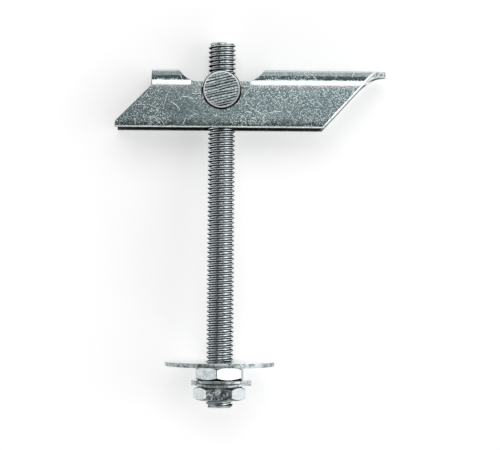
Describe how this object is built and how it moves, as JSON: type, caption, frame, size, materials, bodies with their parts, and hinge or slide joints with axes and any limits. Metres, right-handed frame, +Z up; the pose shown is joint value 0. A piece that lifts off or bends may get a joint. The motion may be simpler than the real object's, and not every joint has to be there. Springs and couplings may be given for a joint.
{
  "type": "gravity toggle bolt",
  "caption": "Threaded rod with a folded channel bar that tilts on a cross nut, and a wide washer, thin nuts and spring washer to clamp a hollow panel.",
  "frame": {"origin": "centre of the bottom of the bounding box: the part lies on its side, on the bend of the bar's lower wall and the rim of the wide washer", "axes": "+Y along the rod towards the bar's end, tipped 6.6 degrees from level because the wide washer's rim stands off the floor less than the bar; +X along the bar towards its pointed nose; +Z up, out of the bar's upper wall"},
  "size_m": [0.0592, 0.08, 0.0239],
  "materials": {
    "bar_steel": "zinc-plated sheet steel with fine random scratches, satin grey with a bluish cast",
    "rod_steel": "zinc-plated rolled thread",
    "cross_nut_steel": "zinc-plated, sawn end faces with parallel marks",
    "washer_steel": "bright zinc plate on stamped steel",
    "nut_steel": "bright zinc plate on thin nuts"
  },
  "bodies": {
    "rod": {"threaded_rod": "rod_steel"},
    "pivot": {"pivot_nut": "cross_nut_steel"},
    "bar": {"toggle_bar": "bar_steel"},
    "wide_washer": {"wide_washer": "washer_steel"},
    "upper_nut": {"upper_nut": "nut_steel"},
    "lock_washers": {"flat_washer": "washer_steel", "wave_washer": "washer_steel"},
    "lower_nut": {"lower_nut": "nut_steel"}
  },
  "joints": [
    {"name": "pivot_slide", "type": "slide", "parent": "rod", "child": "pivot", "axis": [0, 0.9934, -0.1151], "range_m": [-0.016, 0.006]},
    {"name": "bar_fold", "type": "hinge", "parent": "pivot", "child": "bar", "pos_m": [-0.00641, 0.0292, 0.00508], "axis": [0, 0.1151, 0.9934], "range_deg": [-45, 45]},
    {"name": "wide_washer_slide", "type": "slide", "parent": "rod", "child": "wide_washer", "axis": [0, 0.9934, -0.1151], "range_m": [0, 0.016]},
    {"name": "upper_nut_turn", "type": "hinge", "parent": "wide_washer", "child": "upper_nut", "pos_m": [-0.00641, 0.0292, 0.00508], "axis": [0, 0.9934, -0.1151], "range_deg": [0, 5761]},
    {"name": "lock_washers_slide", "type": "slide", "parent": "rod", "child": "lock_washers", "axis": [0, 0.9934, -0.1151], "range_m": [-0.003, 0]},
    {"name": "lower_nut_turn", "type": "hinge", "parent": "lock_washers", "child": "lower_nut", "pos_m": [-0.00641, 0.0292, 0.00508], "axis": [0, 0.9934, -0.1151], "range_deg": [-1081, 0]}
  ],
  "couplings": [
    {"joint": "upper_nut_turn", "follows": "wide_washer_slide", "rad_per_m": 6283.2},
    {"joint": "lower_nut_turn", "follows": "lock_washers_slide", "rad_per_m": 6283.2}
  ]
}
